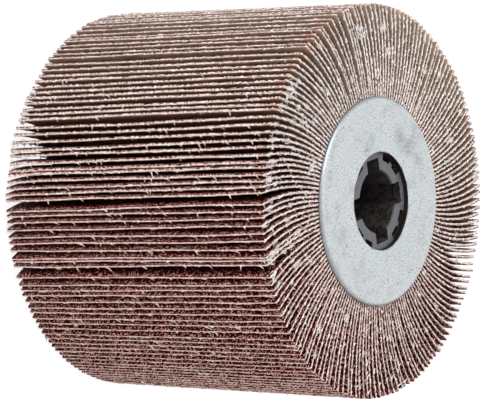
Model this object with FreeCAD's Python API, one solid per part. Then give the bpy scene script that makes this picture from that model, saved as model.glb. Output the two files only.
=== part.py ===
"""Flap wheel: abrasive cloth flaps bonded round a keyed hub, between two flange washers.

The wheel stands on its rear washer. +Z is the wheel's axis, z = 0 is the outer face of the rear
washer, and one of the four keyways in the bore lies on +X. All sizes are in millimetres.
"""

import FreeCAD
import Part
import math
import os
from FreeCAD import Vector

# Wheel and flaps
WHEEL_DIAMETER = 120.0
FLAP_WIDTH = 97.0
FLAP_THICKNESS = 0.85
FLAP_ROOT_GAP = 0.02
FLAP_BEND_START = 6.2
FLAP_BEND_RADIUS = 86.0
FLAP_BEND_FACETS = 5
FLAP_SETS = 42
FLAPS_PER_SET = 4

# Moulded hub core
BORE_DIAMETER = 19.0
BORE_CHAMFER = 0.4
KEYWAY_COUNT = 4
KEYWAY_WIDTH = 6.5
KEYWAY_DEPTH = 3.4
KEYWAY_CORNER_RADIUS = 0.5
KEYWAY_WALL = 1.9
CORE_WALL = 3.2
LOBE_WIDTH = 12.3
TOOTH_WIDTH = 1.6
TOOTH_HEIGHT = 0.9
NOTCH_CORNER_RADIUS = 0.6

# Flange washers
WASHER_DIAMETER = 63.7
WASHER_THICKNESS = 1.5
WASHER_HOLE_CLEARANCE = 0.07
WASHER_RIM_CHAMFER = 0.6

# How far a cutter reaches past what it cuts, and the most of its room that a rounded corner takes
CUTTER_OVERSHOOT = 1.0
CORNER_SHARE = 0.45

# Two lengths that differ by less than this count as the same
SAME_LENGTH = 0.001

# Heights of the pieces along the axis
Z_REAR_FACE = 0.0
Z_FLAPS = Z_REAR_FACE + WASHER_THICKNESS
Z_FRONT_WASHER = Z_FLAPS + FLAP_WIDTH
Z_FRONT_FACE = Z_FRONT_WASHER + WASHER_THICKNESS

# Radii that follow from the sizes above
TIP_RADIUS = WHEEL_DIAMETER / 2
BORE_RADIUS = BORE_DIAMETER / 2
KEYWAY_FLOOR_RADIUS = BORE_RADIUS + KEYWAY_DEPTH
CORE_RADIUS = KEYWAY_FLOOR_RADIUS + KEYWAY_WALL
NOTCH_FLOOR_RADIUS = BORE_RADIUS + CORE_WALL
TOOTH_RADIUS = NOTCH_FLOOR_RADIUS + TOOTH_HEIGHT
WASHER_HOLE_RADIUS = CORE_RADIUS + WASHER_HOLE_CLEARANCE
FLAP_COUNT = FLAP_SETS * FLAPS_PER_SET
ROOT_RADIUS = FLAP_COUNT * (FLAP_THICKNESS + FLAP_ROOT_GAP) / math.tau

AXIS = Vector(0, 0, 1)
CENTRE = Vector(0, 0, 0)


def polar(radius, angle):
    """The point at a radius and an angle in radians, on the plane z = 0."""
    return Vector(radius * math.cos(angle), radius * math.sin(angle), 0)


def turned(shape, angle):
    """A copy of the shape, turned about the wheel's axis by an angle in radians."""
    copy = shape.copy()
    copy.rotate(CENTRE, AXIS, math.degrees(angle))
    return copy


def lifted(face, z_low, height):
    """The prism that stands on z_low and has the flat face as its section."""
    prism = face.extrude(AXIS * height)
    prism.translate(AXIS * z_low)
    return prism


def corner_size(wanted, *rooms):
    """The wanted radius of a corner, or less where one of the lengths beside it leaves no room."""
    return min(wanted, *(CORNER_SHARE * room for room in rooms))


def outline(points):
    """The flat face inside the straight edges from each point to the next, and back to the first."""
    return Part.Face(Part.makePolygon(points + points[:1]))


def revolved(points):
    """The solid that a closed profile in the XZ plane sweeps in one turn about the axis."""
    return outline(points).revolve(CENTRE, AXIS, 360)


def radial_point(radius, z):
    """A point of a profile that is turned about the axis."""
    return Vector(radius, 0, z)


def core_blank():
    """The core before its keyways and notches: a tube with a chamfer at each mouth of the bore."""
    mouth_radius = BORE_RADIUS + BORE_CHAMFER
    profile = [
        radial_point(mouth_radius, Z_FLAPS),
        radial_point(CORE_RADIUS, Z_FLAPS),
        radial_point(CORE_RADIUS, Z_FRONT_WASHER),
        radial_point(mouth_radius, Z_FRONT_WASHER),
        radial_point(BORE_RADIUS, Z_FRONT_WASHER - BORE_CHAMFER),
        radial_point(BORE_RADIUS, Z_FLAPS + BORE_CHAMFER),
    ]
    return revolved(profile)


def keyway_cutter():
    """The slot of one keyway on +X, from the axis to a flat floor with two rounded corners."""
    half = KEYWAY_WIDTH / 2
    corner = corner_size(KEYWAY_CORNER_RADIUS, KEYWAY_WIDTH, KEYWAY_DEPTH)
    floor = KEYWAY_FLOOR_RADIUS
    slant = corner * math.sqrt(0.5)
    side_top = Vector(floor - corner, half, 0)
    side_low = Vector(floor - corner, -half, 0)
    floor_top = Vector(floor, half - corner, 0)
    floor_low = Vector(floor, corner - half, 0)
    round_top = Vector(floor - corner + slant, half - corner + slant, 0)
    round_low = Vector(floor - corner + slant, corner - half - slant, 0)
    edges = [
        Part.LineSegment(Vector(0, half, 0), side_top).toShape(),
        Part.Arc(side_top, round_top, floor_top).toShape(),
        Part.LineSegment(floor_top, floor_low).toShape(),
        Part.Arc(floor_low, round_low, side_low).toShape(),
        Part.LineSegment(side_low, Vector(0, -half, 0)).toShape(),
        Part.LineSegment(Vector(0, -half, 0), Vector(0, half, 0)).toShape(),
    ]
    return lifted(Part.Face(Part.Wire(edges)), Z_FLAPS, FLAP_WIDTH)


def sector(inner, outer, start, end):
    """A flat ring sector between two radii and two angles in radians."""
    middle = (start + end) / 2
    edges = [
        Part.Arc(polar(inner, start), polar(inner, middle), polar(inner, end)).toShape(),
        Part.LineSegment(polar(inner, end), polar(outer, end)).toShape(),
        Part.Arc(polar(outer, end), polar(outer, middle), polar(outer, start)).toShape(),
        Part.LineSegment(polar(outer, start), polar(inner, start)).toShape(),
    ]
    return Part.Face(Part.Wire(edges))


def rounded_floor(prism, floor_radius, corner_radius):
    """The prism with its two upright edges at the floor radius rounded."""
    edges = []
    for edge in prism.Edges:
        start, end = edge.Vertexes[0].Point, edge.Vertexes[-1].Point
        upright = abs(start.z - end.z) > FLAP_WIDTH / 2
        if upright and abs(math.hypot(start.x, start.y) - floor_radius) < SAME_LENGTH:
            edges.append(edge)
    return prism.makeFillet(corner_radius, edges)


def notch_cutters():
    """The two notches and the relief over the tooth, between the lobe on +X and the next one."""
    step = math.tau / KEYWAY_COUNT
    clear_radius = CORE_RADIUS + CUTTER_OVERSHOOT
    lobe_edge = math.asin(LOBE_WIDTH / 2 / CORE_RADIUS)
    tooth_edge = step / 2 - TOOTH_WIDTH / 2 / TOOTH_RADIUS
    floor_width = NOTCH_FLOOR_RADIUS * (tooth_edge - lobe_edge)
    corner = corner_size(NOTCH_CORNER_RADIUS, floor_width, CORE_RADIUS - NOTCH_FLOOR_RADIUS)
    square_notch = sector(NOTCH_FLOOR_RADIUS, clear_radius, lobe_edge, tooth_edge)
    above_tooth = sector(TOOTH_RADIUS, clear_radius, lobe_edge, step - lobe_edge)
    first = rounded_floor(lifted(square_notch, Z_FLAPS, FLAP_WIDTH), NOTCH_FLOOR_RADIUS, corner)
    second = turned(first, step - lobe_edge - tooth_edge)
    relief = lifted(above_tooth, Z_FLAPS, FLAP_WIDTH)
    return [first, second, relief]


def hub_core():
    """The moulded core: keyways inside, and round them lobes that the washers are centred on."""
    cutters = [keyway_cutter()] + notch_cutters()
    step = math.tau / KEYWAY_COUNT
    every = [turned(cutter, k * step) for k in range(KEYWAY_COUNT) for cutter in cutters]
    return core_blank().cut(every)


def resin_ring():
    """The ring of cast resin between the core's lobes and the roots of the flaps."""
    outer = Part.makeCylinder(ROOT_RADIUS, FLAP_WIDTH, Vector(0, 0, Z_FLAPS))
    inner = Part.makeCylinder(CORE_RADIUS, FLAP_WIDTH, Vector(0, 0, Z_FLAPS))
    return outer.cut(inner)


def flange_washer(z_seat, z_face):
    """A flat washer from the side that it seats on to its outer face, whose rim is chamfered."""
    rim = WASHER_DIAMETER / 2
    chamfer = corner_size(WASHER_RIM_CHAMFER, WASHER_THICKNESS)
    z_chamfer = z_face + math.copysign(chamfer, z_seat - z_face)
    profile = [
        radial_point(WASHER_HOLE_RADIUS, z_face),
        radial_point(rim - chamfer, z_face),
        radial_point(rim, z_chamfer),
        radial_point(rim, z_seat),
        radial_point(WASHER_HOLE_RADIUS, z_seat),
    ]
    return revolved(profile)


def flap_tip_angle(bend_x, side_radius):
    """How far one side of a flap turns about its bend centre before it meets the tip circle."""
    centre_distance = math.hypot(bend_x, FLAP_BEND_RADIUS)
    across = (centre_distance**2 + side_radius**2 - TIP_RADIUS**2) / (2 * side_radius)
    return math.acos(across / centre_distance) - math.atan2(bend_x, FLAP_BEND_RADIUS)


def flap_section():
    """The section of the flap on +X: straight out of the resin, then bent towards +Y.

    The grain is on the outer, convex side of the bend, whose corner at the tip is the one that
    reaches the wheel's diameter. The bend is a row of equal flat facets whose corners lie on the
    arc, because so many flaps repeat it. The tip is cut square to the flap.
    """
    half = FLAP_THICKNESS / 2
    bend_x = ROOT_RADIUS + FLAP_BEND_START
    tip_turn = flap_tip_angle(bend_x, FLAP_BEND_RADIUS + half)

    def side(y_root):
        radius = FLAP_BEND_RADIUS - y_root
        turns = [tip_turn * k / FLAP_BEND_FACETS for k in range(FLAP_BEND_FACETS + 1)]
        bend = [
            Vector(bend_x + radius * math.sin(t), FLAP_BEND_RADIUS - radius * math.cos(t), 0)
            for t in turns
        ]
        return [Vector(ROOT_RADIUS, y_root, 0)] + bend

    grain_side = side(-half)
    backing_side = side(half)
    return outline(grain_side + backing_side[::-1])


def flap_set(flap, index):
    """The flaps of one set, spread evenly round the wheel: every FLAP_SETS-th flap, from index on."""
    pitch = math.tau / FLAP_COUNT
    places = [(index + 0.5 + k * FLAP_SETS) * pitch for k in range(FLAPS_PER_SET)]
    return Part.makeCompound([turned(flap, angle) for angle in places])


def flap_wheel():
    """Every piece of the wheel, by the name of its node."""
    flap = lifted(flap_section(), Z_FLAPS, FLAP_WIDTH)
    pieces = {
        "hub_core": hub_core(),
        "resin_ring": resin_ring(),
        "rear_flange_washer": flange_washer(Z_FLAPS, Z_REAR_FACE),
        "front_flange_washer": flange_washer(Z_FRONT_WASHER, Z_FRONT_FACE),
    }
    for index in range(FLAP_SETS):
        pieces[f"flap_set_{index + 1:02d}"] = flap_set(flap, index)
    return pieces


os.makedirs("parts", exist_ok=True)
for name, shape in flap_wheel().items():
    shape.exportStep(f"parts/{name}.step")
    print(f"{name}: {len(shape.Solids)} solids, {shape.Volume / 1000:.2f} cm3, valid {shape.isValid()}")
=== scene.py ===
"""Looks of a flap wheel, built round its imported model: cloth flaps, washers, keyed core and studio.

The wheel stands on its rear washer and +Z is its axis. Sizes in the classes are in millimetres, and
points become metres when a mesh is made. A flap is placed by three numbers: its number round the
wheel, its share of the way from root to tip, and its share of the way from the rear end to the front.
"""

import logging
import math
from dataclasses import dataclass, field
from enum import Enum, IntEnum
from functools import reduce

import bpy
import numpy as np
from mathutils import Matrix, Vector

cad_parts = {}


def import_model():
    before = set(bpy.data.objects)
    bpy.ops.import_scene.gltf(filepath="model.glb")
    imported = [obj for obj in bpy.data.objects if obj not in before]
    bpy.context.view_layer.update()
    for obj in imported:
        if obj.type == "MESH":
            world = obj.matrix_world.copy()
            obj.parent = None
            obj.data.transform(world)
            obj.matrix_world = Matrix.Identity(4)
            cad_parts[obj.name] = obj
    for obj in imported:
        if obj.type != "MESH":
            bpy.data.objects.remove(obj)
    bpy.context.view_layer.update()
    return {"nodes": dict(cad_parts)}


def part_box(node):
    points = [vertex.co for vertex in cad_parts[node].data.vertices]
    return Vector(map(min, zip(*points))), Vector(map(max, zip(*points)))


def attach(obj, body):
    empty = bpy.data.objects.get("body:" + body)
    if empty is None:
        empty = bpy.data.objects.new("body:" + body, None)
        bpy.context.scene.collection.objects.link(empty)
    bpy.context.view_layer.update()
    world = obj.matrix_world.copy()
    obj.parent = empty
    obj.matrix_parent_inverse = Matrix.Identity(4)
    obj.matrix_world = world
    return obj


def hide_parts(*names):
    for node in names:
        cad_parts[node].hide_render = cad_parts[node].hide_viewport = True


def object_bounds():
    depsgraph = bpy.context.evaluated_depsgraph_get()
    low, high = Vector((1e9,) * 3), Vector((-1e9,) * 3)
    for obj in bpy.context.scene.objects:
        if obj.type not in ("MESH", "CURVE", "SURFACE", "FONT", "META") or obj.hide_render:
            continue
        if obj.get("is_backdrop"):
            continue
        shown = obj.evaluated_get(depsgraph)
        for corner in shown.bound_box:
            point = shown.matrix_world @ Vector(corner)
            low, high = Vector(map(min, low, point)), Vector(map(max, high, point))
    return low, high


LOG = logging.getLogger("flap_wheel")

# Metres in a millimetre
MM = 0.001
# Faces that meet at more than this angle, in degrees, keep a sharp edge between them
SHARP_FROM = 38.0
# A direction that no strand runs along
HELPER = (0.31, 0.52, 0.79)
WHITE = (1.0, 1.0, 1.0, 1.0)

Array = np.ndarray
Material = bpy.types.Material
Socket = bpy.types.NodeSocket
Value = Socket | float
Rgba = tuple[float, float, float, float]
Colour = Socket | Rgba
Xyz = tuple[float, float, float]


class End(Enum):
    """The two ends of the wheel, by the direction in which each faces along the axis."""

    REAR = -1.0
    FRONT = 1.0


class FlapSlot(IntEnum):
    """The material slots of a flap."""

    GRAIN = 0
    BACKING = 1
    CUT = 2


# Surfaces and meshes


@dataclass
class Surface:
    """A mesh in the making.

    Attributes:
        points: Places in millimetres, one row each.
        quads: Point numbers of the four-cornered faces.
        triangles: Point numbers of the three-cornered faces.
        slots: Material slot of each face, quads first, or 0 where none are given.
        cloth: Place on the cloth, in millimetres, of each face corner, quads first, or 0 as well.
    """

    points: Array
    quads: Array
    triangles: Array = field(default_factory=lambda: np.zeros((0, 3), int))
    slots: Array | None = None
    cloth: Array | None = None

    def __post_init__(self) -> None:
        """Fills in the slots and the places on the cloth where none are given."""
        quads, triangles = len(self.quads), len(self.triangles)
        if self.slots is None:
            self.slots = np.zeros(quads + triangles, int)
        if self.cloth is None:
            self.cloth = np.zeros((4 * quads + 3 * triangles, 2))


def joined(parts: list[Surface]) -> Surface:
    """One surface that holds all the given ones.

    Args:
        parts: The surfaces.

    Returns:
        The joined surface, with each part's point numbers moved up by the points before it.
    """
    starts = np.cumsum([0] + [len(p.points) for p in parts[:-1]])
    split = [(p, len(p.quads), 4 * len(p.quads)) for p in parts]
    return Surface(
        np.concatenate([p.points for p in parts]),
        np.concatenate([p.quads + s for p, s in zip(parts, starts)]),
        np.concatenate([p.triangles + s for p, s in zip(parts, starts)]),
        np.concatenate([p.slots[:q] for p, q, _ in split] + [p.slots[q:] for p, q, _ in split]),
        np.concatenate([p.cloth[:c] for p, _, c in split] + [p.cloth[c:] for p, _, c in split]),
    )


def grid_quads(rows: int, columns: int, wrap_rows: bool = False, wrap_columns: bool = False) -> Array:
    """The faces of a grid of points numbered row by row.

    Args:
        rows: Number of rows of points.
        columns: Number of columns of points.
        wrap_rows: Whether the last row joins the first.
        wrap_columns: Whether the last column joins the first.

    Returns:
        Point numbers of each face: a point, the next row's, that one's next, and the next column's.
    """
    row, column = np.meshgrid(
        np.arange(rows if wrap_rows else rows - 1),
        np.arange(columns if wrap_columns else columns - 1),
        indexing="ij",
    )
    row_next, column_next = (row + 1) % rows, (column + 1) % columns
    corners = [(row, column), (row_next, column), (row_next, column_next), (row, column_next)]
    return np.stack([r * columns + c for r, c in corners], axis=-1).reshape(-1, 4)


def repeated(faces: Array, copies: int, step: int) -> Array:
    """A table of faces once for each copy, with its point numbers moved up by step each time."""
    return (faces[None] + step * np.arange(copies)[:, None, None]).reshape(-1, faces.shape[1])


def unit(vectors: Array) -> Array:
    """Each vector divided by its length."""
    return vectors / np.maximum(np.linalg.norm(vectors, axis=-1, keepdims=True), 1e-9)


def smooth_step(value: Array) -> Array:
    """Rises from 0 to 1 as the value does, level at both ends: v squared times (3 - 2 v)."""
    v = np.clip(value, 0.0, 1.0)
    return v * v * (3.0 - 2.0 * v)


def arc(centre: tuple[float, float], radius: float, turn: Array) -> Array:
    """Points on a circle: the centre + radius x the cosine and the sine of each turn."""
    return np.array(centre) + radius * np.stack([np.cos(turn), np.sin(turn)], axis=-1)


def about_axis(radius: Array, angle: Array, height: Array | float) -> Array:
    """Points about the wheel's axis: radius x cosine of the angle, radius x its sine, and height."""
    parts = np.broadcast_arrays(radius * np.cos(angle), radius * np.sin(angle), height)
    return np.stack(parts, axis=-1)


def tubes(line: Array, across: Array, outward: Array, section: Array) -> Surface:
    """Closed tubes, each a section carried along a line of points.

    A point is line + across times the section's first number + outward times its second.

    Args:
        line: Centre points, as tube, station, xyz.
        across: First direction of the section at each station.
        outward: Second direction; across x outward is the way along the line.
        section: Points of the section, anticlockwise, as tube, station, point, two numbers.

    Returns:
        All tubes as one surface, with a flat face at each end.
    """
    count, stations, sides = section.shape[:3]
    points = (
        line[:, :, None]
        + across[:, :, None] * section[..., :1]
        + outward[:, :, None] * section[..., 1:]
    )
    wall = grid_quads(stations, sides, wrap_columns=True)[:, [0, 3, 2, 1]]
    first = np.arange(sides)[::-1][None]
    last = np.arange(sides)[None] + (stations - 1) * sides
    caps = repeated(np.concatenate([first, last]), count, stations * sides)
    walls = repeated(wall, count, stations * sides)
    flat = points.reshape(-1, 3)
    if sides == 4:
        return Surface(flat, np.concatenate([walls, caps]))
    return Surface(flat, walls, caps)


def strands(line: Array, radius: Array, sides: int) -> Surface:
    """Round tubes along free lines.

    The section's directions come from the line: a fixed helper direction crossed with the line's
    own, and the line's own crossed with that.

    Args:
        line: Centre points, as strand, station, xyz.
        radius: Radius at each station of each strand.
        sides: Sides of the section, 3 or 4.

    Returns:
        All strands as one surface.
    """
    along = unit(np.gradient(line, axis=1))
    across = unit(np.cross(HELPER, along))
    outward = np.cross(along, across)
    circle = arc((0.0, 0.0), 1.0, np.arange(sides) * math.tau / sides)
    return tubes(line, across, outward, radius[..., None, None] * circle)


def make_piece(name: str, surface: Surface, materials: list[Material]) -> bpy.types.Object:
    """Puts a surface into a mesh object at the origin, and reports it.

    Args:
        name: Name of the piece.
        surface: The surface, in millimetres.
        materials: Materials of the slots, in order.

    Returns:
        The object, linked into the scene, with a UV map "cloth" in millimetres.
    """
    mesh = bpy.data.meshes.new(name)
    quads, triangles = len(surface.quads), len(surface.triangles)
    corners = np.concatenate([surface.quads.ravel(), surface.triangles.ravel()])
    starts = np.concatenate([4 * np.arange(quads), 4 * quads + 3 * np.arange(triangles)])
    mesh.vertices.add(len(surface.points))
    mesh.vertices.foreach_set("co", (surface.points * MM).astype(np.float32).ravel())
    mesh.loops.add(len(corners))
    mesh.loops.foreach_set("vertex_index", corners.astype(np.int32))
    mesh.polygons.add(quads + triangles)
    mesh.polygons.foreach_set("loop_start", starts.astype(np.int32))
    mesh.polygons.foreach_set("material_index", surface.slots.astype(np.int32))
    mesh.update(calc_edges=True)
    places = mesh.uv_layers.new(name="cloth")
    places.data.foreach_set("uv", surface.cloth.astype(np.float32).ravel())
    for material in materials:
        mesh.materials.append(material)
    mesh.shade_smooth()
    mesh.set_sharp_from_angle(angle=math.radians(SHARP_FROM))
    mesh.validate()
    piece = bpy.data.objects.new(name, mesh)
    bpy.context.scene.collection.objects.link(piece)
    LOG.info("%s: %d faces", name, len(mesh.polygons))
    return piece


# Node trees


def tone(red: float, green: float, blue: float) -> Rgba:
    """A colour given in screen levels from 0 to 255, as the linear values that a shader takes.

    Each level over 255 is divided by 12.92 below 0.04045, and above it is (level + 0.055) / 1.055
    to the power 2.4.

    Args:
        red: Level of red.
        green: Level of green.
        blue: Level of blue.

    Returns:
        The linear values, and 1 for a solid colour.
    """
    levels = [v / 255.0 for v in (red, green, blue)]
    linear = [v / 12.92 if v <= 0.04045 else ((v + 0.055) / 1.055) ** 2.4 for v in levels]
    return (linear[0], linear[1], linear[2], 1.0)


class Tree:
    """The node tree of a material or the world, with short ways to add to it."""

    def __init__(self, owner: Material | bpy.types.World) -> None:
        """Empties the owner's tree.

        Args:
            owner: The material or world.
        """
        owner.use_nodes = True
        self.tree = owner.node_tree
        self.tree.nodes.clear()

    def add(self, kind: str, inputs: dict | None = None, **settings: object) -> bpy.types.Node:
        """Adds a node.

        Args:
            kind: The node's type, without the "ShaderNode" before it.
            inputs: Value or source socket of each input, by the input's name or number.
            **settings: Other settings of the node.

        Returns:
            The node.
        """
        node = self.tree.nodes.new("ShaderNode" + kind)
        for key, value in settings.items():
            setattr(node, key, value)
        for key, value in (inputs or {}).items():
            if isinstance(value, Socket):
                self.tree.links.new(value, node.inputs[key])
            else:
                node.inputs[key].default_value = value
        return node

    def math(self, operation: str, *values: Value) -> Socket:
        """The result of a Math node on numbers or sockets."""
        return self.add("Math", dict(enumerate(values)), operation=operation).outputs[0]

    def times(self, *values: Value) -> Socket:
        """The product of all the values."""
        return reduce(lambda product, value: self.math("MULTIPLY", product, value), values)

    def plus(self, *values: Value) -> Socket:
        """The sum of all the values."""
        return reduce(lambda total, value: self.math("ADD", total, value), values)

    def vector(self, operation: str, *values: Socket | Xyz, out: int | str = 0) -> Socket:
        """An output of a Vector Math node: 0 is the vector, and "Value" the number."""
        return self.add("VectorMath", dict(enumerate(values)), operation=operation).outputs[out]

    def xyz(self, vector: Socket) -> list[Socket]:
        """The three parts of a vector."""
        return list(self.add("SeparateXYZ", {0: vector}).outputs)

    def ramp(self, factor: Socket, *stops: tuple[float, Rgba]) -> Socket:
        """A colour that runs through stops as a factor goes from 0 to 1.

        Args:
            factor: The factor.
            *stops: Place and colour of each stop, the lowest first.

        Returns:
            The colour.
        """
        node = self.add("ValToRGB", {0: factor})
        elements = node.color_ramp.elements
        for place, _ in stops[1:-1]:
            elements.new(place)
        for element, (place, colour) in zip(elements, stops):
            element.position, element.color = place, colour
        return node.outputs[0]

    def span(
        self, value: Value, low: float, high: float, to_low: Value = 0.0, to_high: Value = 1.0
    ) -> Socket:
        """The value moved smoothly from one range to another, held at its ends."""
        inputs = {0: value, 1: low, 2: high, 3: to_low, 4: to_high}
        return self.add("MapRange", inputs, interpolation_type="SMOOTHSTEP").outputs[0]

    def span_mm(
        self, value: Value, low: float, high: float, to_low: Value = 0.0, to_high: Value = 1.0
    ) -> Socket:
        """The same for a value in metres, with the ends of its range in millimetres."""
        return self.span(value, low * MM, high * MM, to_low, to_high)

    def blend(self, factor: Value, first: Colour, second: Colour, way: str = "MIX") -> Socket:
        """Two colours blended by the factor, in one of Blender's ways."""
        node = self.add("Mix", {0: factor, 6: first, 7: second}, data_type="RGBA", blend_type=way)
        return node.outputs[2]

    def shaded(self, colour: Colour, by: Colour) -> Socket:
        """A colour times another."""
        return self.blend(1.0, colour, by, "MULTIPLY")

    def dimmed(self, colour: Colour, by: Value) -> Socket:
        """A colour times a number."""
        return self.shaded(colour, self.add("CombineXYZ", {0: by, 1: by, 2: by}).outputs[0])

    def noise(self, place: Socket, size_mm: float, detail: float = 2.0, rough: float = 0.5) -> Socket:
        """Noise from 0 to 1 whose features are about that many millimetres across."""
        inputs = {"Vector": place, "Scale": 1.0 / (size_mm * MM), "Detail": detail, "Roughness": rough}
        return self.add("TexNoise", inputs).outputs[0]

    def object_place(self) -> Socket:
        """The place on the object, in metres."""
        return self.add("TexCoord").outputs["Object"]

    def cloth_place(self) -> Socket:
        """The place on the cloth, in millimetres: across the wheel's width, and out from the root."""
        return self.add("UVMap", uv_map="cloth").outputs[0]

    def flat(self, place: Socket) -> Socket:
        """The place with its height taken off."""
        return self.vector("MULTIPLY", place, (1.0, 1.0, 0.0))

    def from_middle(self, place: Socket, low: float, high: float) -> Socket:
        """How far along the axis the place is from halfway between two heights."""
        return self.math("ABSOLUTE", self.math("SUBTRACT", self.xyz(place)[2], (low + high) / 2 * MM))

    def facing(self, place: Socket, degrees: float) -> Socket:
        """Cosine of the angle round the wheel between the place and a direction.

        Args:
            place: Place on the object.
            degrees: Angle of the direction.

        Returns:
            The cosine, 1 on the side of the wheel that lies that way.
        """
        angle = math.radians(degrees)
        way = (math.cos(angle), math.sin(angle), 0.0)
        return self.vector("DOT_PRODUCT", self.vector("NORMALIZE", self.flat(place)), way, out="Value")

    def nearness(self, distance: Socket, reach: float) -> Socket:
        """The square of (1 - distance / reach), and 0 where the distance is more than reach."""
        share = self.math("SUBTRACT", 1.0, self.math("DIVIDE", distance, reach))
        return self.math("POWER", self.math("MAXIMUM", share, 0.0), 2.0)

    def bump(self, height: Socket, depth_mm: float) -> Socket:
        """The normal that a height from 0 to 1 gives, for a relief of that depth."""
        return self.add("Bump", {"Height": height, "Distance": depth_mm * MM}).outputs[0]

    def surface(
        self, colour: Socket, rough: Socket, normal: Socket, shine: float = 0.5, metal: Value = 0.0
    ) -> None:
        """Ends the tree in a Principled shader.

        Args:
            colour: Its base colour.
            rough: Its roughness.
            normal: Its normal.
            shine: Its specular level.
            metal: How metallic it is.
        """
        inputs = {"Base Color": colour, "Roughness": rough, "Normal": normal}
        inputs |= {"Specular IOR Level": shine, "Metallic": metal}
        shader = self.add("BsdfPrincipled", inputs)
        self.add("OutputMaterial", {"Surface": shader.outputs[0]})


def new_tree(name: str) -> tuple[Material, Tree]:
    """A new material and its empty tree."""
    material = bpy.data.materials.new(name)
    return material, Tree(material)


# Finishes


@dataclass(frozen=True)
class CutLines:
    """Where a flap's cut edges are, for the finishes that change towards them.

    Attributes:
        low: Height of the flaps' rear edges.
        high: Height of their front edges.
        length: Length of a flap from root to tip.
        rusty_at: Angle round the wheel, in degrees, of the side whose front corners are rusty.
        rust_fades: Cosine of the angle from there where the rust ends, and where it is full.
    """

    low: float
    high: float
    length: float
    rusty_at: float = 131.6
    rust_fades: tuple[float, float] = (0.74, 0.95)

    def distances(self, tree: Tree) -> tuple[Socket, Socket]:
        """Distances on a flap from its tip and from its nearer end edge.

        Args:
            tree: The material's tree.

        Returns:
            The two distances, below 0 on the cut itself, by the depth into the flap's thickness.
        """
        across, out, _ = tree.xyz(tree.cloth_place())
        from_tip = tree.math("SUBTRACT", self.length, out)
        from_end = tree.math("MINIMUM", across, tree.math("SUBTRACT", self.high - self.low, across))
        return from_tip, from_end

    def rusted(self, tree: Tree, place: Socket) -> Socket:
        """Which places lie in the front half of the wheel, on the side whose corners are rusty.

        Args:
            tree: The material's tree.
            place: Place on the object.

        Returns:
            1 there, and 0 elsewhere.
        """
        in_front = tree.math("GREATER_THAN", tree.xyz(place)[2], (self.low + self.high) / 2 * MM)
        return tree.times(tree.span(tree.facing(place, self.rusty_at), *self.rust_fades), in_front)


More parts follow.
